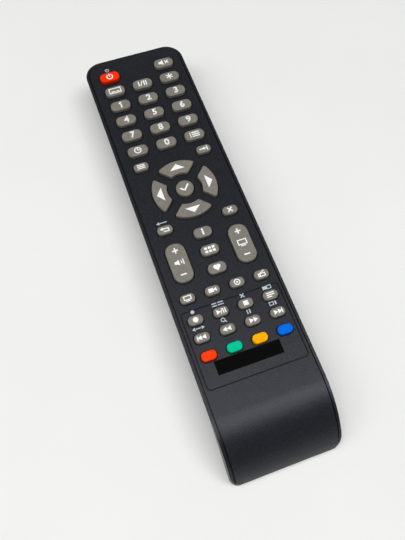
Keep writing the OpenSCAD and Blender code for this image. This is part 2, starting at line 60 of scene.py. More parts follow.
# The tub is the handset's underside, sides and rim, with the battery bay moulded in.
# It is injection moulded in black ABS with a fine spark-eroded grain, and the mould eases its edges.
def linear(code):
    """An sRGB hex colour as linear values, with full alpha."""
    parts = [int(code[i:i + 2], 16) / 255 for i in (1, 3, 5)]
    return [c / 12.92 if c <= 0.04045 else ((c + 0.055) / 1.055) ** 2.4 for c in parts] + [1.0]


def add(tree, kind, settings=(), links=()):
    """Adds a node; settings name its properties or sockets, links name a socket and the output that feeds it."""
    node = tree.nodes.new(kind)
    for name, value in dict(settings).items():
        if isinstance(name, str) and hasattr(node, name):
            setattr(node, name, value)
        else:
            node.inputs[name].default_value = value
    for name, output in dict(links).items():
        tree.links.new(output, node.inputs[name])
    return node


def finish_named(name):
    """A new material with an empty tree, its shader and its Object coordinates."""
    material = bpy.data.materials.new(name)
    material.use_nodes = True
    tree = material.node_tree
    shader = tree.nodes["Principled BSDF"]
    place = add(tree, "ShaderNodeTexCoord").outputs["Object"]
    return material, tree, shader, place


def wear(piece, material):
    piece.data.materials.clear()
    piece.data.materials.append(material)


def only(piece):
    """Leaves this piece alone selected and active."""
    bpy.ops.object.select_all(action="DESELECT")
    piece.select_set(True)
    bpy.context.view_layer.objects.active = piece


def apply_modifier(piece, kind, **settings):
    only(piece)
    modifier = piece.modifiers.new(kind.lower(), kind)
    for name, value in settings.items():
        setattr(modifier, name, value)
    bpy.ops.object.modifier_apply(modifier=modifier.name)


def even_shading(piece):
    """Shades rounded edges smoothly and leaves the flats between them flat."""
    only(piece)
    bpy.ops.object.shade_smooth_by_angle(angle=math.radians(40))
    apply_modifier(piece, "WEIGHTED_NORMAL", keep_sharp=True, weight=100)


def eased_copy(node, name, body, radius):
    """A copy of a CAD moulding with its sharp edges rounded to the mould's edge radius."""
    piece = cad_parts[node].copy()
    piece.data = piece.data.copy()
    piece.name = name
    piece.parent = None
    piece.matrix_world.identity()
    bpy.context.collection.objects.link(piece)
    only(piece)
    bpy.ops.object.mode_set(mode="EDIT")
    bpy.ops.mesh.select_all(action="SELECT")
    bpy.ops.mesh.remove_doubles(threshold=0.002 * MM)
    bpy.ops.mesh.dissolve_limited(angle_limit=math.radians(0.4))
    bpy.ops.object.mode_set(mode="OBJECT")
    apply_modifier(piece, "BEVEL", width=radius, segments=2, limit_method="ANGLE", angle_limit=math.radians(35),
                   use_clamp_overlap=True, loop_slide=False)
    even_shading(piece)
    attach(piece, body)
    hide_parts(node)
    return piece


# Moulded ABS: a dense black with a soft broad sheen. The grain is finer than 0.1 mm, and is drawn at 0.3 mm
# so that it scatters the highlight and shows as a fine speckle.
abs_plastic, tree, shader, place = finish_named("grained_black_ABS")
grain = add(tree, "ShaderNodeTexNoise", {"Scale": 1 / (0.3 * MM), "Detail": 0.0}, {"Vector": place})
tint = add(tree, "ShaderNodeValToRGB", {}, {"Fac": grain.outputs["Fac"]})
tint.color_ramp.elements[0].position = 0.36
tint.color_ramp.elements[0].color = linear("#000003")
tint.color_ramp.elements[1].position = 0.64
tint.color_ramp.elements[1].color = linear("#191b22")
tree.links.new(tint.outputs["Color"], shader.inputs["Base Color"])
rough = add(tree, "ShaderNodeMapRange", {"To Min": 0.3, "To Max": 0.38}, {"Value": grain.outputs["Fac"]})
tree.links.new(rough.outputs["Result"], shader.inputs["Roughness"])
bump = add(tree, "ShaderNodeBump", {"Strength": 0.45, "Distance": 0.1 * MM}, {"Height": grain.outputs["Fac"]})
tree.links.new(bump.outputs["Normal"], shader.inputs["Normal"])
shader.inputs["IOR"].default_value = 1.5
shader.inputs["Specular IOR Level"].default_value = 0.31
shader.inputs["Specular Tint"].default_value = linear("#f3f4ff")

tub = eased_copy("lower_case", "tub", "case", 0.2 * MM)
wear(tub, abs_plastic)

# The battery contacts are pressed and wound from nickel-plated spring steel, pushed into the bay's end walls.
# They stay as the solids draw them. Nickel plate is bright and even, with soft scuffs.
nickel, tree, shader, place = finish_named("nickel_plated_steel")
scuff = add(tree, "ShaderNodeTexNoise", {"Scale": 1 / (0.6 * MM), "Detail": 4.0}, {"Vector": place})
rough = add(tree, "ShaderNodeMapRange", {"To Min": 0.2, "To Max": 0.42}, {"Value": scuff.outputs["Fac"]})
tree.links.new(rough.outputs["Result"], shader.inputs["Roughness"])
shader.inputs["Base Color"].default_value = linear("#c9ccd0")
shader.inputs["Metallic"].default_value = 1.0
for contact in ("contact_plates", "battery_springs"):
    wear(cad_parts[contact], nickel)

# Two AAA cells lie head to tail in the bay, each a steel can in a plain printed sleeve.
# The sleeve is dark with a pale copper band round its raised end, and has a satin sheen with faint smears.
SLEEVE_BAND = 11 * MM
sleeve, tree, shader, place = finish_named("printed_cell_sleeve")
axis = add(tree, "ShaderNodeSeparateXYZ", {}, {0: place})
side = add(tree, "ShaderNodeMath", {"operation": "SIGN"}, {0: axis.outputs["X"]})
low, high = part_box("aaa_cells")
middle = add(tree, "ShaderNodeMath", {"operation": "SUBTRACT", 1: (low[1] + high[1]) / 2}, {0: axis.outputs["Y"]})
along = add(tree, "ShaderNodeMath", {"operation": "MULTIPLY"}, {0: side.outputs[0], 1: middle.outputs[0]})
band = add(tree, "ShaderNodeMath", {"operation": "GREATER_THAN", 1: SLEEVE_BAND}, {0: along.outputs[0]})
mixed = add(tree, "ShaderNodeMix", {"data_type": "RGBA", 6: linear("#23252b"), 7: linear("#b98a5c")},
            {0: band.outputs[0]})
tree.links.new(mixed.outputs[2], shader.inputs["Base Color"])
smear = add(tree, "ShaderNodeTexNoise", {"Scale": 1 / (3 * MM), "Detail": 3.0}, {"Vector": place})
rough = add(tree, "ShaderNodeMapRange", {"To Min": 0.22, "To Max": 0.4}, {"Value": smear.outputs["Fac"]})
tree.links.new(rough.outputs["Result"], shader.inputs["Roughness"])
shader.inputs["Metallic"].default_value = 0.4
wear(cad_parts["aaa_cells"], sleeve)

# The battery door is a flat slide with a tongue along each side and finger ridges at the nose.
# It is moulded in the same black ABS and pulls off towards the nose.
door = eased_copy("battery_door", "door", "battery_door", 0.15 * MM)
wear(door, abs_plastic)

# The circuit board is glass-filled epoxy with a green lacquer over its copper tracks.
# It lies on the tub's posts and on the roof of the bay. The tracks show through the lacquer as paler lines.
lacquer, tree, shader, place = finish_named("green_board_lacquer")
tracks = add(tree, "ShaderNodeTexBrick",
             {"Scale": 1 / (9 * MM), "Mortar Size": 0.06, "Color1": linear("#2f7d4a"), "Color2": linear("#2a7044"),
              "Mortar": linear("#4f9a5e")}, {"Vector": place})
tree.links.new(tracks.outputs["Color"], shader.inputs["Base Color"])
shader.inputs["Roughness"].default_value = 0.35
wear(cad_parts["circuit_board"], lacquer)

# The board's parts hang under it: a black moulded chip, a sleeved capacitor and a dipped resonator.
# The infrared diode is dark clear epoxy and looks out of the far end. Each skin has a faint mottle.
for node, name, low, high, roughness in (
    ("controller_chip", "moulded_epoxy", "#19191b", "#252527", 0.6),
    ("capacitor", "shrunk_vinyl_sleeve", "#263050", "#323d62", 0.3),
    ("ceramic_resonator", "dipped_phenolic", "#b97a22", "#d29a40", 0.35),
    ("infrared_led", "dark_clear_epoxy", "#1d1626", "#2c2238", 0.08),
):
    material, tree, shader, place = finish_named(name)
    speck = add(tree, "ShaderNodeTexNoise", {"Scale": 1 / (0.8 * MM), "Detail": 3.0}, {"Vector": place})
    tint = add(tree, "ShaderNodeValToRGB", {}, {"Fac": speck.outputs["Fac"]})
    tint.color_ramp.elements[0].color = linear(low)
    tint.color_ramp.elements[1].color = linear(high)
    tree.links.new(tint.outputs["Color"], shader.inputs["Base Color"])
    shader.inputs["Roughness"].default_value = roughness
    wear(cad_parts[node], material)


# The keypad mat is a sheet of grey silicone between the board and the keys.
# Silicone is matt and a little waxy, with a bloom of pale dust that varies over a few millimetres.
def silicone(name, low, high, roughness=0.62, shine=0.3):
    material, tree, shader, place = finish_named(name)
    bloom = add(tree, "ShaderNodeTexNoise", {"Scale": 1 / (2.2 * MM), "Detail": 4.0}, {"Vector": place})
    tint = add(tree, "ShaderNodeValToRGB", {}, {"Fac": bloom.outputs["Fac"]})
    tint.color_ramp.elements[0].position = 0.3
    tint.color_ramp.elements[0].color = linear(low)
    tint.color_ramp.elements[1].position = 0.7
    tint.color_ramp.elements[1].color = linear(high)
    tree.links.new(tint.outputs["Color"], shader.inputs["Base Color"])
    # moulded from a blasted tool: a grit of about 0.15 mm, drawn at 0.3 mm so that it shows
    grit = add(tree, "ShaderNodeTexNoise", {"Scale": 1 / (0.3 * MM), "Detail": 1.0}, {"Vector": place})
    bump = add(tree, "ShaderNodeBump", {"Strength": 0.12, "Distance": 0.02 * MM}, {"Height": grit.outputs["Fac"]})
    tree.links.new(bump.outputs["Normal"], shader.inputs["Normal"])
    shader.inputs["Roughness"].default_value = roughness
    shader.inputs["IOR"].default_value = 1.41
    shader.inputs["Specular IOR Level"].default_value = shine
    return material


wear(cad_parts["keypad_mat"], silicone("dark_silicone_sheet", "#52514f", "#605f5c"))

# The key face is a thin ABS plate that drops into the tub's rim and curves down over the nose.
# It is moulded with a hole for each key and a fine line round the media keys.
FACE_Z = 19.0 * MM
LINE_NEAR_Y = -64.6 * MM
LINE_FAR_Y = -32.3 * MM
LINE_FLOOR = FACE_Z - 0.35 * MM
LINE_TOP = FACE_Z - 0.08 * MM
face = eased_copy("upper_case", "key_face", "case", 0.2 * MM)
wear(face, abs_plastic)
# the cut line's floor is rougher than the face, and its darker colour and weaker sheen are painted shade for the
# narrow groove
line_shade_abs, tree, shader, place = finish_named("dull_black_ABS_painted_line_shade")
speck = add(tree, "ShaderNodeTexNoise", {"Scale": 1 / (0.2 * MM), "Detail": 2.0}, {"Vector": place})
rough = add(tree, "ShaderNodeMapRange", {"To Min": 0.4, "To Max": 0.55}, {"Value": speck.outputs["Fac"]})
tree.links.new(rough.outputs["Result"], shader.inputs["Roughness"])
shader.inputs["Base Color"].default_value = linear("#08090d")
shader.inputs["Specular IOR Level"].default_value = 0.14
face.data.materials.append(line_shade_abs)
# the floor of the cut line takes the painted shade
for side in face.data.polygons:
    heights = [face.data.vertices[v].co.z for v in side.vertices]
    framed = LINE_NEAR_Y < side.center.y < LINE_FAR_Y and side.normal.z > 0.3
    side.material_index = int(framed and LINE_FLOOR < min(heights) and max(heights) < LINE_TOP)

# One zinc-plated screw holds the face to the tub behind the cells, with its head under the battery door.
# It is cold formed and plated, so it is bright with small scuffs.
zinc, tree, shader, place = finish_named("zinc_plated_steel")
scuff = add(tree, "ShaderNodeTexNoise", {"Scale": 1 / (0.5 * MM), "Detail": 4.0}, {"Vector": place})
rough = add(tree, "ShaderNodeMapRange", {"To Min": 0.25, "To Max": 0.45}, {"Value": scuff.outputs["Fac"]})
tree.links.new(rough.outputs["Result"], shader.inputs["Roughness"])
shader.inputs["Base Color"].default_value = linear("#b8bcc2")
shader.inputs["Metallic"].default_value = 1.0
wear(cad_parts["case_screw"], zinc)


# The digit keys are oblong buttons of grey silicone, each on a flange that keeps it in the face.
# They are moulded with rounded top edges, and their white legends are printed on top.
FLANGE_W = 0.6 * MM
FLANGE_T = 0.6 * MM
FLANGE_Z = 16.3 * MM
PLUNGER_R = 1.4 * MM
KEY_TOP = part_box("ok_key")[1][2]
KEY_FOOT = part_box("ok_key")[0][2]
KEY_EDGE = 0.5 * MM
GAP_SHADE_TOP = FACE_Z - 0.3 * MM
CORNER_SHARE = 0.9
INK = 0.03 * MM
FIGURE_SIZE = 4.3
FIGURE_SHIFT = 0.28 * MM


def pick(piece, kind, wanted):
    """In edit mode, selects the edges or faces that pass a test on their place or normal."""
    bpy.ops.mesh.select_all(action="DESELECT")
    bpy.ops.mesh.select_mode(type=kind)
    mesh = bmesh.from_edit_mesh(piece.data)
    for part in mesh.edges if kind == "EDGE" else mesh.faces:
        part.select_set(wanted(part))
    mesh.select_flush_mode()
    bmesh.update_edit_mesh(piece.data)


def upright(edge):
    low, high = sorted(v.co.z for v in edge.verts)
    return high - low > 0.1 * MM and (edge.verts[0].co - edge.verts[1].co).xy.length < 0.01 * MM


def at_height(z):
    return lambda part: all(abs(v.co.z - z) < 0.01 * MM for v in part.verts)


def round_top(piece, edge=KEY_EDGE):
    """Rounds the cap's top edge and leaves edit mode."""
    pick(piece, "EDGE", at_height(KEY_TOP))
    bpy.ops.mesh.bevel(offset=edge, segments=4, affect="EDGES", profile=0.5)
    bpy.ops.object.mode_set(mode="OBJECT")


def cut_across(piece, point, normal):
    """Cuts edges into a piece where a plane crosses it, and keeps both sides."""
    only(piece)
    bpy.ops.object.mode_set(mode="EDIT")
    bpy.ops.mesh.select_all(action="SELECT")
    bpy.ops.mesh.bisect(plane_co=point, plane_no=normal)
    bpy.ops.object.mode_set(mode="OBJECT")


def add_plungers(piece, spots, flange_z):
    """Grows the contact pins under the flange, then cuts the line below which the walls are painted dark as shade,
    and evens the shading.
    """
    # a cut that crosses the pins, beside their middle, leaves no face with a hole in it
    cut_across(piece, (PLUNGER_R / 7, 0, 0), (1, 0, 0))
    for x, y in spots:
        top = flange_z + FLANGE_T / 2
        bpy.ops.mesh.primitive_cylinder_add(vertices=24, radius=PLUNGER_R, depth=top - KEY_FOOT,
                                            location=(x, y, (top + KEY_FOOT) / 2))
        pin = bpy.context.object
        apply_modifier(piece, "BOOLEAN", operation="UNION", object=pin, solver="EXACT")
        only(pin)
        bpy.ops.object.delete()
    # the line below which the key's walls are painted near black, as shade in the gap round the key, just below
    # the face
    cut_across(piece, (0, 0, GAP_SHADE_TOP), (0, 0, 1))
    even_shading(piece)


def oblong_key(w, d, flange_z=FLANGE_Z, spots=((0, 0),)):
    """A rounded key over the origin: its flange is drawn in to the cap, and the cap's top edge is rounded."""
    radius = min(w, d) / 2 * CORNER_SHARE
    bpy.ops.object.select_all(action="DESELECT")
    bpy.ops.mesh.primitive_cube_add(size=1, location=(0, 0, flange_z + FLANGE_T / 2))
    piece = bpy.context.object
    piece.scale = (w + 2 * FLANGE_W, d + 2 * FLANGE_W, FLANGE_T)
    bpy.ops.object.transform_apply(location=True, rotation=True, scale=True)
    bpy.ops.object.mode_set(mode="EDIT")
    pick(piece, "EDGE", upright)
    bpy.ops.mesh.bevel(offset=radius + FLANGE_W, segments=8, affect="EDGES")
    pick(piece, "FACE", at_height(flange_z + FLANGE_T))
    bpy.ops.mesh.inset(thickness=FLANGE_W)
    rise = KEY_TOP - flange_z - FLANGE_T
    bpy.ops.mesh.extrude_region_move(TRANSFORM_OT_translate={"value": (0, 0, rise)})
    round_top(piece)
    add_plungers(piece, spots, flange_z)
    return piece


def bar(x, y, w, h, turn=0):
    bpy.ops.mesh.primitive_plane_add(size=1, location=(x * MM, y * MM, 0), rotation=(0, 0, math.radians(turn)))
    bpy.context.object.scale = (w * MM, h * MM, 1)
    return [bpy.context.object]


def dot(x, y, r, corners=32, turn=0):
    bpy.ops.mesh.primitive_circle_add(vertices=corners, radius=r * MM, fill_type="NGON",
                                      location=(x * MM, y * MM, 0), rotation=(0, 0, math.radians(turn)))
    return [bpy.context.object]


def arrow(x, y, r, turn=0):
    """A three-cornered arrow that points along +X before its turn."""
    return dot(x, y, r, 3, turn - 90)


def hoop(x, y, r, t, corners=32, turn=0, gap=0):
    """A ring, or a frame where it has few corners, with a gap of that many degrees at its top."""
    ring = dot(x, y, r, corners, turn)[0]
    only(ring)
    bpy.ops.object.transform_apply(location=True, rotation=True, scale=True)
    bpy.ops.object.mode_set(mode="EDIT")
    bpy.ops.mesh.select_all(action="SELECT")
    bpy.ops.mesh.inset(thickness=t * MM)
    bpy.ops.mesh.delete(type="FACE")
    half = math.radians(gap / 2)

    def in_gap(part):
        c = part.calc_center_median()
        return abs(math.atan2(c.x - x * MM, c.y - y * MM)) < half

    if gap:
        pick(ring, "FACE", in_gap)
        bpy.ops.mesh.delete(type="FACE")
    bpy.ops.object.mode_set(mode="OBJECT")
    return [ring]


def screen(x, y, w, h, t):
    """The outline of a rectangle, as four bars."""
    return (bar(x, y + (h - t) / 2, w, t) + bar(x, y - (h - t) / 2, w, t)
            + bar(x - (w - t) / 2, y, t, h - 2 * t) + bar(x + (w - t) / 2, y, t, h - 2 * t))


def figure(body, turn=0):
    """A bold printed numeral in the stock face, as a mesh; a six is a nine turned round."""
    bpy.ops.object.select_all(action="DESELECT")
    bpy.ops.object.text_add(location=(0, 0, 0))
    word = bpy.context.object
    word.data.body = body
    word.data.size = FIGURE_SIZE * MM
    word.data.align_x = "CENTER"
    word.data.align_y = "CENTER"
    word.data.offset = 0.04 * FIGURE_SIZE * MM
    bpy.ops.object.convert(target="MESH")
    word = bpy.context.object
    # the printing sits a little to the right on every key
    word.location = (FIGURE_SHIFT, 0, 0)
    if turn:
        word.rotation_euler = (0, 0, math.radians(turn))
        word.location.y = 0.07 * FIGURE_SIZE * MM
    return [word]


def print_on(piece, marks, x, y, z, ink, grow=1):
    """Joins flat marks drawn about the origin into one printed layer of ink on a piece."""
    bpy.ops.object.select_all(action="DESELECT")
    for step, mark in enumerate(marks):
        mark.select_set(True)
        mark.location.z = step * INK / 20
    bpy.context.view_layer.objects.active = marks[0]
    bpy.ops.object.transform_apply(location=True, rotation=True, scale=True)
    if len(marks) > 1:
        bpy.ops.object.join()
    layer = bpy.context.object
    apply_modifier(layer, "SOLIDIFY", thickness=2 * INK, offset=0)
    layer.location = (x, y, z)
    layer.scale = (grow, grow, 1)
    bpy.ops.object.transform_apply(location=True, rotation=True, scale=True)
    wear(layer, ink)
    only(piece)
    layer.select_set(True)
    bpy.ops.object.join()


def place_key(master, node, finish, marks=(), turn=0, about=None, grow=1):
    """Copies a modelled key to its node's place, prints its legend and puts it on its body."""
    low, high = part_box(node)
    x, y = about or ((low[0] + high[0]) / 2, (low[1] + high[1]) / 2)
    piece = master.copy()
    piece.data = master.data.copy()
    piece.name = node.replace("_key", "_cap").replace("_rocker", "_bar")
    bpy.context.collection.objects.link(piece)
    piece.location = (x, y, 0)
    piece.rotation_euler = (0, 0, math.radians(turn))
    only(piece)
    bpy.ops.object.transform_apply(location=True, rotation=True, scale=True)
    wear(piece, finish)
    # a second slot for the painted gap shade on the walls below the face
    piece.data.materials.append(gap_shade_silicone)
    mesh = piece.data
    for side in mesh.polygons:
        side.material_index = int(max(mesh.vertices[v].co.z for v in side.vertices) < GAP_SHADE_TOP + INK)
    if marks:
        print_on(piece, marks, x, y, KEY_TOP, white_ink, grow)
    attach(piece, node)
    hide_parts(node)
    return piece


# pad-printed white ink: flat and a little chalky, with thin patches a fraction of a millimetre across
white_ink, tree, shader, place = finish_named("white_printing_ink")
patch = add(tree, "ShaderNodeTexNoise", {"Scale": 1 / (0.7 * MM), "Detail": 2.0}, {"Vector": place})
tint = add(tree, "ShaderNodeValToRGB", {}, {"Fac": patch.outputs["Fac"]})
tint.color_ramp.elements[0].color = linear("#ebebe8")
tint.color_ramp.elements[1].color = linear("#fdfdfb")
tree.links.new(tint.outputs["Color"], shader.inputs["Base Color"])
shader.inputs["Roughness"].default_value = 0.5

# each key's walls below the face, its flange and its pins are painted near black, as shade in the gap round the
# key and under the face
gap_shade_silicone = silicone("painted_gap_shade_silicone", "#18181a", "#202022")
grey_silicone = silicone("warm_grey_silicone", "#777369", "#817d75", 0.5)
digit_key = oblong_key(9.0 * MM, 5.0 * MM)
for digit in range(10):
    marks = figure("9", 180) if digit == 6 else figure(str(digit))
    if digit == 1:
        marks += bar(-0.14, 1.05, 1.1, 0.55, 40)
    place_key(digit_key, f"digit_{digit}_key", grey_silicone, marks)

# The other keys of the digit block have the same moulding, with signs in place of numbers.
# All are grey but the power key, which is moulded in red.
place_key(digit_key, "mute_key", grey_silicone,
          bar(-1.9, 0, 0.9, 1.3) + arrow(-1.05, 0, 1.65, 180)
          + bar(1.4, 0, 2.3, 0.5, 45) + bar(1.4, 0, 2.3, 0.5, -45))
place_key(digit_key, "subtitle_key", grey_silicone,
          screen(0, 0, 5.6, 3.0, 0.45) + bar(-0.9, -0.55, 1.7, 0.55) + bar(1.15, -0.55, 1.3, 0.55))
place_key(digit_key, "sound_key", grey_silicone,
          bar(-1.7, 0, 0.55, 2.7) + bar(-0.45, 0, 0.45, 3.0, -22)
          + bar(0.75, 0, 0.55, 2.7) + bar(1.75, 0, 0.55, 2.7))
place_key(digit_key, "freeze_key", grey_silicone,
          bar(0, 0, 3.2, 0.5, 90) + bar(0, 0, 3.2, 0.5, 30) + bar(0, 0, 3.2, 0.5, -30))
place_key(digit_key, "sleep_key", grey_silicone,
          hoop(0, 0, 1.6, 0.45) + bar(0, 0.45, 0.42, 1.1) + bar(0.4, 0, 0.9, 0.42))
place_key(digit_key, "list_key", grey_silicone,
          [m for y in (-1.0, 0, 1.0) for m in bar(0.6, y, 3.4, 0.55) + bar(-1.85, y, 0.6, 0.55)])
power_silicone = silicone("red_silicone", "#f22c00", "#fb3400", 0.7, 0.1)
place_key(digit_key, "power_key", power_silicone, hoop(0, -0.1, 1.55, 0.5, gap=70) + bar(0, 0.75, 0.5, 1.7))

# The four corner keys round the cursor ring are smaller oblongs of the same silicone.
# They are moulded like the digit keys, with printed signs on top.
corner_key = oblong_key(6.5 * MM, 3.9 * MM)
place_key(corner_key, "menu_key", grey_silicone, [m for y in (-0.8, 0, 0.8) for m in bar(0, y, 3.4, 0.48)])
place_key(corner_key, "source_key", grey_silicone,
          bar(-0.9, 0, 1.9, 0.5) + arrow(0.4, 0, 0.95) + bar(1.6, 0, 0.48, 2.2))
place_key(corner_key, "back_key", grey_silicone,
          arrow(-1.2, 0.4, 0.9, 180) + bar(0.5, 0.4, 2.5, 0.48) + bar(1.51, -0.25, 0.48, 1.0)
          + bar(0.5, -0.85, 2.5, 0.48))
place_key(corner_key, "exit_key", grey_silicone, bar(0, 0, 2.8, 0.55, 45) + bar(0, 0, 2.8, 0.55, -45))

# The cursor keys are four segments of a ring, cut along the ring's diagonals, with the round OK key inside.
# Each carries an arrow that points away from the middle.
INNER_R = 7.6 * MM
OUTER_R = 14.0 * MM
DIAGONAL = 3.1 * MM
CORNER_R = 0.9 * MM
OK_R = 3.8 * MM
ARROW_REACH = 10.57
ARROW_SHAPE = (3.75, 1.82, 1)
low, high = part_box("ok_key")
ring_centre = ((low[0] + high[0]) / 2, (low[1] + high[1]) / 2)


def segment(inner, outer, offset, z0, z1, corner):
    """A ring segment over the origin, spun from its cross-section and cut along both diagonals."""
    bpy.ops.object.select_all(action="DESELECT")
    bpy.ops.mesh.primitive_plane_add(size=1, location=((inner + outer) / 2, 0, (z0 + z1) / 2),
                                     rotation=(math.radians(90), 0, 0))
    piece = bpy.context.object
    piece.scale = (outer - inner, z1 - z0, 1)
    bpy.ops.object.transform_apply(location=True, rotation=True, scale=True)
    bpy.ops.object.mode_set(mode="EDIT")
    bpy.ops.mesh.select_all(action="SELECT")
    bpy.ops.mesh.delete(type="ONLY_FACE")
    bpy.ops.mesh.select_all(action="SELECT")
    bpy.ops.mesh.spin(steps=96, angle=math.radians(360), center=(0, 0, 0), axis=(0, 0, 1))
    bpy.ops.mesh.select_all(action="SELECT")
    bpy.ops.mesh.remove_doubles(threshold=0.005 * MM)
    for side in (-1, 1):
        bpy.ops.mesh.select_all(action="SELECT")
        bpy.ops.mesh.bisect(plane_co=(0, offset, 0), plane_no=(side, -1, 0), use_fill=True, clear_outer=True)
    bpy.ops.mesh.select_all(action="SELECT")
    bpy.ops.mesh.remove_doubles(threshold=0.005 * MM)
    bpy.ops.mesh.dissolve_limited(angle_limit=math.radians(1))
    bpy.ops.mesh.normals_make_consistent(inside=False)

    # the sides meet the outer arc at less than a right angle and the inner arc at more
    lean = offset / math.sqrt(2)
    for r, angle in ((outer, math.asin(lean / outer)), (inner, -math.asin(lean / inner))):
        along = math.sqrt(r * r - lean * lean)
        reach = corner * math.tan((math.radians(90) + angle) / 2)

        def upright_within(low, high):
            """Picks upright edges by their distance from the nearer of the two corners on this arc."""
            def wanted(edge):
                x, y = edge.verts[0].co.xy * math.sqrt(2)
                away = math.hypot(abs(x) - along + lean, y - along - lean) / math.sqrt(2)
                return upright(edge) and low <= away < high
            return wanted

        # arc points inside the rounding make room for it
        pick(piece, "EDGE", upright_within(0.01 * MM, 1.1 * reach))
        bpy.ops.mesh.dissolve_edges()
        pick(piece, "EDGE", upright_within(0, 0.01 * MM))
        bpy.ops.mesh.bevel(offset=reach, segments=5, affect="EDGES")
    return piece


up = segment(INNER_R, OUTER_R, DIAGONAL, FLANGE_Z + FLANGE_T / 2, KEY_TOP, CORNER_R)
round_top(up)
skirt = segment(INNER_R - FLANGE_W, OUTER_R + FLANGE_W, DIAGONAL - FLANGE_W * math.sqrt(2), FLANGE_Z,
                FLANGE_Z + FLANGE_T, CORNER_R + FLANGE_W)
bpy.ops.object.mode_set(mode="OBJECT")
apply_modifier(up, "BOOLEAN", operation="UNION", object=skirt, solver="EXACT")
only(skirt)
bpy.ops.object.delete()
add_plungers(up, ((0, (INNER_R + OUTER_R) / 2),), FLANGE_Z)
for node, turn in (("up_key", 0), ("left_key", 90), ("down_key", 180), ("right_key", 270)):
    x, y = -ARROW_REACH * math.sin(math.radians(turn)), ARROW_REACH * math.cos(math.radians(turn))
    sign = dot(x, y, 1.0, 3, turn)
    sign[0].scale = ARROW_SHAPE
    place_key(up, node, grey_silicone, sign, turn, ring_centre)

bpy.ops.object.select_all(action="DESELECT")
bpy.ops.mesh.primitive_cylinder_add(vertices=64, radius=OK_R + FLANGE_W, depth=FLANGE_T,
                                    location=(0, 0, FLANGE_Z + FLANGE_T / 2))
ok_key = bpy.context.object
bpy.ops.object.transform_apply(location=True, rotation=True, scale=True)
bpy.ops.object.mode_set(mode="EDIT")
pick(ok_key, "FACE", at_height(FLANGE_Z + FLANGE_T))
bpy.ops.mesh.inset(thickness=FLANGE_W)
bpy.ops.mesh.extrude_region_move(TRANSFORM_OT_translate={"value": (0, 0, KEY_TOP - FLANGE_Z - FLANGE_T)})
round_top(ok_key)
add_plungers(ok_key, ((0, 0),), FLANGE_Z)
place_key(ok_key, "ok_key", grey_silicone, bar(-1.25, -0.3, 1.9, 0.7, -45) + bar(0.7, 0.15, 3.6, 0.7, 50))

# The middle column is three oblong keys between the rockers.
# They are moulded in the same grey silicone and printed with signs.
middle_key = oblong_key(7.7 * MM, 4.6 * MM)
place_key(middle_key, "info_key", grey_silicone, dot(0, 1.1, 0.45) + bar(0, -0.4, 0.75, 1.9))
place_key(middle_key, "guide_key", grey_silicone,
          [m for x in (-1.6, 0, 1.6) for y in (-0.75, 0.75) for m in bar(x, y, 1.2, 1.05)])
heart = dot(-0.48, 0.3, 0.65) + dot(0.48, 0.3, 0.65) + bar(0, -0.1, 1.36, 1.36, 45)
place_key(middle_key, "favourite_key", grey_silicone, heart, grow=1.35)

# The two rockers are long keys with round ends that tilt about their middle.
# Each carries a plus and a minus at its ends and a sign for its use between them.
# the flange lies lower than on the other keys, so that it stays clear of the face when the key tilts
ROCKER_FLANGE_Z = 15.894 * MM
ROCKER_PIN_Y = 5.8 * MM
rocker = oblong_key(8.2 * MM, 17.4 * MM, ROCKER_FLANGE_Z, ((0, ROCKER_PIN_Y), (0, -ROCKER_PIN_Y)))
for node, sign in (
    ("volume_rocker", bar(-1.5, 0, 0.8, 1.2) + arrow(-0.75, 0, 1.45, 180) + bar(0.85, 0, 0.45, 1.3)
     + bar(1.7, 0, 0.45, 2.4)),
    ("channel_rocker", screen(0, 0.25, 4.0, 2.5, 0.45) + bar(0, -1.45, 2.2, 0.45)),
):
    place_key(rocker, node, grey_silicone,
              bar(0, 5.4, 2.5, 0.6) + bar(0, 5.4, 0.6, 2.5) + sign + bar(0, -5.4, 2.5, 0.6))

# The mode, media and colour keys are small oblongs in four columns.
# The media keys carry the usual tape signs, and the colour keys are bare silicone in four colours.
media_key = oblong_key(6.1 * MM, 3.8 * MM)
place_key(media_key, "tuner_key", grey_silicone, screen(0, 0.2, 3.2, 1.9, 0.4) + bar(0, -1.1, 1.8, 0.38))
place_key(media_key, "video_key", grey_silicone, bar(-0.6, 0, 2.1, 1.7) + arrow(1.2, 0, 1.0, 180))
place_key(media_key, "player_key", grey_silicone, hoop(0, 0, 1.3, 0.42) + dot(0, 0, 0.42))
place_key(media_key, "radio_key", grey_silicone,
          screen(0, -0.35, 3.1, 1.6, 0.38) + bar(0.4, 0.85, 2.1, 0.36, 28) + dot(-0.7, -0.35, 0.36))
place_key(media_key, "record_key", grey_silicone, dot(0, 0, 1.1))
place_key(media_key, "play_key", grey_silicone,
          arrow(-1.2, 0, 1.15) + bar(0.15, 0, 2.2, 0.34, 72) + bar(0.95, 0, 0.45, 1.9) + bar(1.75, 0, 0.45, 1.9))
place_key(media_key, "stop_key", grey_silicone, bar(0, 0, 2.0, 1.9))
place_key(media_key, "text_key", grey_silicone,
          [m for y, w in ((-0.8, 2.0), (0, 3.2), (0.8, 3.2)) for m in bar((w - 3.2) / 2, y, w, 0.45)])
place_key(media_key, "previous_key", grey_silicone,
          bar(-1.85, 0, 0.42, 1.9) + arrow(-0.75, 0, 1.15, 180) + arrow(0.95, 0, 1.15, 180))
place_key(media_key, "rewind_key", grey_silicone, arrow(-0.95, 0, 1.15, 180) + arrow(0.75, 0, 1.15, 180))
place_key(media_key, "forward_key", grey_silicone, arrow(-0.75, 0, 1.15) + arrow(0.95, 0, 1.15))
place_key(media_key, "next_key", grey_silicone,
          arrow(-0.95, 0, 1.15) + arrow(0.75, 0, 1.15) + bar(1.85, 0, 0.42, 1.9))
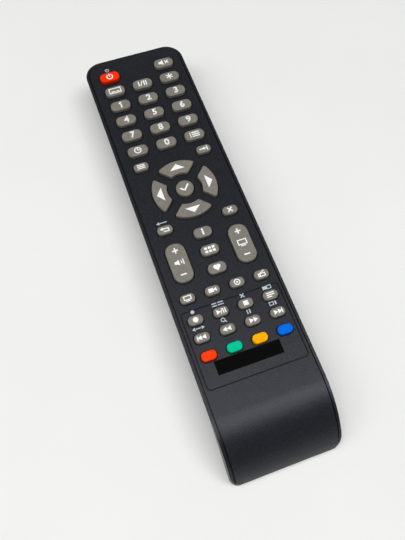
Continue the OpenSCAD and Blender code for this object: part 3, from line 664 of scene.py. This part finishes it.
for colour, low, high in (
    ("red", "#f53a08", "#fd4410"),
    ("green", "#00b78b", "#00c798"),
    ("yellow", "#faa800", "#ffb600"),
    ("blue", "#0062d8", "#006ee4"),
):
    place_key(media_key, f"{colour}_key", silicone(f"{colour}_dyed_silicone", low, high, 0.7, 0.1))

for master in (digit_key, corner_key, up, ok_key, middle_key, rocker, media_key):
    only(master)
    bpy.ops.object.delete()

# The face carries small pale signs over some keys, printed on the plate beside their holes.
# They name a key's second use. The ink lies thin over black, so it looks a little blue.
pale_ink, tree, shader, place = finish_named("pale_blue_printing_ink")
patch = add(tree, "ShaderNodeTexNoise", {"Scale": 1 / (0.7 * MM), "Detail": 2.0}, {"Vector": place})
tint = add(tree, "ShaderNodeValToRGB", {}, {"Fac": patch.outputs["Fac"]})
tint.color_ramp.elements[0].color = linear("#9fb0bd")
tint.color_ramp.elements[1].color = linear("#c9d6df")
tree.links.new(tint.outputs["Color"], shader.inputs["Base Color"])
shader.inputs["Roughness"].default_value = 0.5

upper = (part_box("record_key")[0][1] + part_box("record_key")[1][1]) / 2 / MM + 3.75
lower = (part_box("rewind_key")[0][1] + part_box("rewind_key")[1][1]) / 2 / MM + 4.2
signs = dot(-15.5, upper, 0.75)
signs += [m for y in (-0.5, 0.5) for x, w in ((-6.5, 2.0), (-3.9, 2.4)) for m in bar(x, upper + y, w, 0.42)]
signs += bar(5.2, upper, 2.2, 0.42, 45) + bar(5.2, upper, 2.2, 0.42, -45)
signs += bar(14.7, upper, 1.7, 1.4) + screen(16.5, upper, 1.9, 1.6, 0.32)
signs += arrow(-17.2, lower, 0.85, 180) + bar(-15.5, lower, 1.9, 0.4) + arrow(-13.8, lower, 0.85)
signs += hoop(-5.4, lower + 0.1, 0.9, 0.32) + bar(-4.5, lower - 0.75, 1.0, 0.4, -45)
signs += bar(4.7, lower, 0.45, 1.7) + bar(5.7, lower, 0.45, 1.7)
signs += screen(14.8, lower, 1.9, 1.6, 0.32) + bar(16.5, lower, 0.6, 1.6)
power_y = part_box("power_key")[1][1] / MM + 1.9
signs += hoop(-13.0, power_y, 0.95, 0.32, gap=70) + bar(-13.0, power_y + 0.5, 0.32, 1.0)
back_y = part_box("back_key")[1][1] / MM + 1.45
signs += arrow(-15.9, back_y, 0.85, 180) + bar(-13.8, back_y, 3.2, 0.42)
bpy.ops.object.select_all(action="DESELECT")
for step, sign in enumerate(signs):
    sign.select_set(True)
    sign.location.z = step % 4 * INK / 20
bpy.context.view_layer.objects.active = signs[0]
bpy.ops.object.transform_apply(location=True, rotation=True, scale=True)
bpy.ops.object.join()
face_signs = bpy.context.object
face_signs.name = "face_signs"
apply_modifier(face_signs, "SOLIDIFY", thickness=2 * INK, offset=0)
face_signs.location = (0, 0, FACE_Z)
bpy.ops.object.transform_apply(location=True, rotation=True, scale=True)
wear(face_signs, pale_ink)
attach(face_signs, "case")

# A black label of thin film is stuck under the colour keys, a little left of the middle, and left bare.
# Its face is matt and darker than the case.
LABEL_X, LABEL_Y = -1.3 * MM, -57.2 * MM
LABEL_W, LABEL_D, LABEL_T = 26.6 * MM, 5.6 * MM, 0.1 * MM
bpy.ops.object.select_all(action="DESELECT")
bpy.ops.mesh.primitive_cube_add(size=1, location=(LABEL_X, LABEL_Y, FACE_Z + 0.04 * MM))
label = bpy.context.object
label.name = "label_strip"
label.scale = (LABEL_W, LABEL_D, LABEL_T)
bpy.ops.object.transform_apply(location=True, rotation=True, scale=True)
bpy.ops.object.mode_set(mode="EDIT")
pick(label, "EDGE", lambda e: upright(e) or abs(e.verts[0].co.z - e.verts[1].co.z) > 0.05 * MM)
bpy.ops.mesh.bevel(offset=0.25 * MM, segments=3, affect="EDGES")
bpy.ops.object.mode_set(mode="OBJECT")
film, tree, shader, place = finish_named("black_label_film")
smear = add(tree, "ShaderNodeTexNoise", {"Scale": 1 / (4 * MM), "Detail": 3.0}, {"Vector": place})
rough = add(tree, "ShaderNodeMapRange", {"To Min": 0.5, "To Max": 0.65}, {"Value": smear.outputs["Fac"]})
tree.links.new(rough.outputs["Result"], shader.inputs["Roughness"])
shader.inputs["Base Color"].default_value = linear("#030303")
shader.inputs["Specular IOR Level"].default_value = 0.03
wear(label, film)
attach(label, "case")


# The handset lies on a pale matt table of painted board, with a faint mottle, which runs out to the backdrop.
# Three broad soft lamps hang well above it, so that shadows stay short.
def looked_at(tree):
    """Gives 1 to rays that show a surface, straight or by gloss or glass, and 0 to rays that light the handset."""
    rays = add(tree, "ShaderNodeLightPath").outputs
    most = add(tree, "ShaderNodeMath", {"operation": "MAXIMUM"},
               {0: rays["Is Camera Ray"], 1: rays["Is Glossy Ray"]})
    return add(tree, "ShaderNodeMath", {"operation": "MAXIMUM"},
               {0: most.outputs[0], 1: rays["Is Transmission Ray"]}).outputs[0]


bpy.ops.object.select_all(action="DESELECT")
bpy.ops.mesh.primitive_plane_add(size=10, location=(0, 0, -0.02 * MM))
table = bpy.context.object
table.name = "table"
paper, tree, shader, place = finish_named("pale_table")
mottle = add(tree, "ShaderNodeTexNoise", {"Scale": 1 / (60 * MM), "Detail": 2.0}, {"Vector": place})
tint = add(tree, "ShaderNodeValToRGB", {}, {"Fac": mottle.outputs["Fac"]})
tint.color_ramp.elements[0].color = linear("#ececea")
tint.color_ramp.elements[1].color = linear("#f2f2ef")
tree.links.new(tint.outputs["Color"], shader.inputs["Base Color"])
shader.inputs["Roughness"].default_value = 0.8
# beyond the lamps' reach it pales into the backdrop
away = add(tree, "ShaderNodeVectorMath", {"operation": "LENGTH"}, {0: place})
pale = add(tree, "ShaderNodeMapRange", {"From Min": 0.4, "From Max": 2.0, "To Max": 0.4},
           {"Value": away.outputs["Value"]})
glow = add(tree, "ShaderNodeMath", {"operation": "MULTIPLY"}, {0: pale.outputs["Result"], 1: looked_at(tree)})
tree.links.new(glow.outputs[0], shader.inputs["Emission Strength"])
shader.inputs["Emission Color"].default_value = linear("#f0f1f2")
wear(table, paper)

for spot, aim, size, power in (
    ((-0.2, -0.17, 1.25), (0, -0.05, 0), 1.1, 9.5),
    ((-0.9, 0.05, 0.95), (0, 0, 0), 0.7, 3.2),
    ((0.5, -0.22, 1.2), (0, -0.05, 0), 0.6, 4.7),
):
    bpy.ops.object.light_add(type="AREA", location=spot)
    lamp = bpy.context.object
    lamp.rotation_euler = (Vector(aim) - Vector(spot)).to_track_quat("-Z", "Y").to_euler()
    lamp.data.shape = "DISK"
    lamp.data.size = size
    lamp.data.energy = power
world = bpy.data.worlds.new("studio")
bpy.context.scene.world = world
world.use_nodes = True
backdrop = world.node_tree.nodes["Background"]
backdrop.inputs["Color"].default_value = linear("#f0f1f2")
tree = world.node_tree
level = add(tree, "ShaderNodeMapRange", {"To Min": 0.18, "To Max": 0.55}, {"Value": looked_at(tree)})
tree.links.new(level.outputs["Result"], backdrop.inputs["Strength"])
